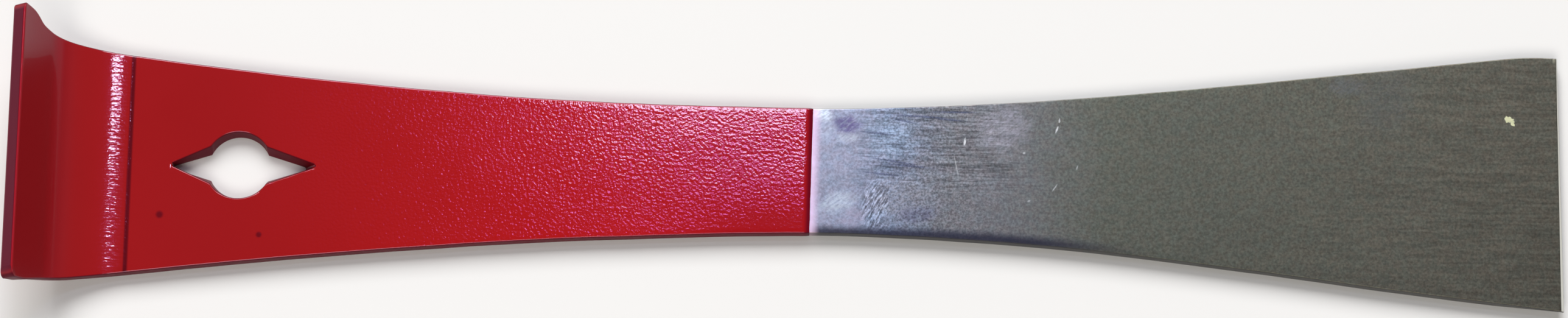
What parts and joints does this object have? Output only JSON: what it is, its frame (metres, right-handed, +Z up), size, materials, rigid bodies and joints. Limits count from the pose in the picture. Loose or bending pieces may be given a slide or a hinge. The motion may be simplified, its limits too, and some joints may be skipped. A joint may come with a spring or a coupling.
{
  "type": "flat pry bar",
  "caption": "Flat steel pry bar and scraper with an upturned flared hook, a nail slot behind it, a narrow red enamelled grip and a straight bevelled scraper blade.",
  "frame": {"origin": "middle of the object's box in X and Y, at the height of the surface it lies on, which is the coated underside", "axes": "+X runs along the bar from the hook to the scraper blade, +Z is up, the way the hook points, and +Y completes a right-handed frame across the bar"},
  "size_m": [0.2552, 0.047, 0.0197],
  "materials": {
    "bare_steel": "brushed spring steel under a thin grey phosphate-like film, lightly scratched",
    "red_enamel": "glossy dipped red enamel with fine orange peel"
  },
  "bodies": {
    "root": {"steel_bar": "bare_steel", "red_enamel_coat": "red_enamel"}
  },
  "joints": []
}
